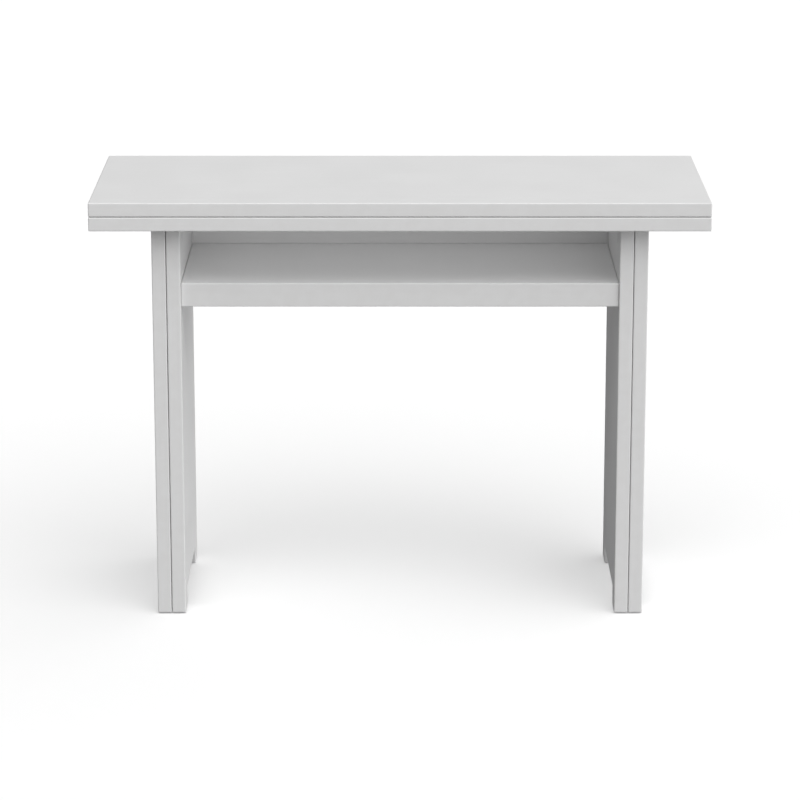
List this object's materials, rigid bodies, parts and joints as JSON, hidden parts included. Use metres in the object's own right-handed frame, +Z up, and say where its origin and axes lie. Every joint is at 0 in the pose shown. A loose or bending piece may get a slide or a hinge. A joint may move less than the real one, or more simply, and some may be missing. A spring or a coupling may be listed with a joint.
{
  "type": "gateleg table",
  "caption": "Folding console table: the upper leaf opens over the rear edge onto gate panels that swing out of its slab sides; shelf and niche under the top.",
  "frame": {"origin": "on the floor, under the middle of the closed top", "axes": "+Z up, +X to the right along the top, front at -Y, leaf hinges at the rear, +Y"},
  "size_m": [1.1, 0.4539, 0.776],
  "materials": {
    "lacquer": "white satin lacquer on board, with thin edge banding",
    "steel": "zinc-plated",
    "nylon": "white moulded nylon",
    "silicone": "clear soft",
    "magnet": "nickel-plated ferrite"
  },
  "bodies": {
    "frame": {"lower_leaf": "lacquer", "side_panel_left": "lacquer", "side_panel_right": "lacquer", "shelf": "lacquer", "back_panel": "lacquer", "leaf_hinge_1_fixed_plate": "steel", "leaf_hinge_1_pin": "steel", "leaf_hinge_2_fixed_plate": "steel", "leaf_hinge_2_pin": "steel", "leaf_hinge_3_fixed_plate": "steel", "leaf_hinge_3_pin": "steel", "gate_left_hinge_1_fixed_plate": "steel", "gate_left_hinge_1_pin": "steel", "gate_left_hinge_2_fixed_plate": "steel", "gate_left_hinge_2_pin": "steel", "gate_right_hinge_1_fixed_plate": "steel", "gate_right_hinge_1_pin": "steel", "gate_right_hinge_2_fixed_plate": "steel", "gate_right_hinge_2_pin": "steel", "leaf_dot_front_left": "silicone", "leaf_dot_rear_left": "silicone", "leaf_dot_front_right": "silicone", "leaf_dot_rear_right": "silicone", "cam_front_left": "steel", "cam_rear_left": "steel", "cam_front_right": "steel", "cam_rear_right": "steel", "cam_bolt_front_left": "steel", "cam_bolt_rear_left": "steel", "cam_bolt_front_right": "steel", "cam_bolt_rear_right": "steel", "shelf_screw_front_left": "steel", "shelf_screw_rear_left": "steel", "shelf_screw_front_right": "steel", "shelf_screw_rear_right": "steel", "glide_side_left_front": "nylon", "glide_side_left_rear": "nylon", "glide_side_right_front": "nylon", "glide_side_right_rear": "nylon", "magnet_left": "magnet", "magnet_right": "magnet"},
    "top_leaf": {"upper_leaf": "lacquer", "leaf_hinge_1_moving_plate": "steel", "leaf_hinge_2_moving_plate": "steel", "leaf_hinge_3_moving_plate": "steel"},
    "gate_left": {"gate_panel_left": "lacquer", "gate_left_hinge_1_moving_plate": "steel", "gate_left_hinge_2_moving_plate": "steel", "glide_gate_left_front": "nylon", "glide_gate_left_rear": "nylon", "support_strip_left": "nylon", "striker_left": "steel"},
    "gate_right": {"gate_panel_right": "lacquer", "gate_right_hinge_1_moving_plate": "steel", "gate_right_hinge_2_moving_plate": "steel", "glide_gate_right_front": "nylon", "glide_gate_right_rear": "nylon", "support_strip_right": "nylon", "striker_right": "steel"}
  },
  "joints": [
    {"name": "leaf_fold", "type": "hinge", "parent": "frame", "child": "top_leaf", "pos_m": [0, 0.2265, 0.7505], "axis": [-1, 0, 0], "range_deg": [0, 180]},
    {"name": "gate_left_swing", "type": "hinge", "parent": "frame", "child": "gate_left", "pos_m": [-0.4175, 0.1795, 0.36], "axis": [0, 0, -1], "range_deg": [0, 180]},
    {"name": "gate_right_swing", "type": "hinge", "parent": "frame", "child": "gate_right", "pos_m": [0.4175, 0.1795, 0.36], "axis": [0, 0, 1], "range_deg": [0, 180]}
  ]
}
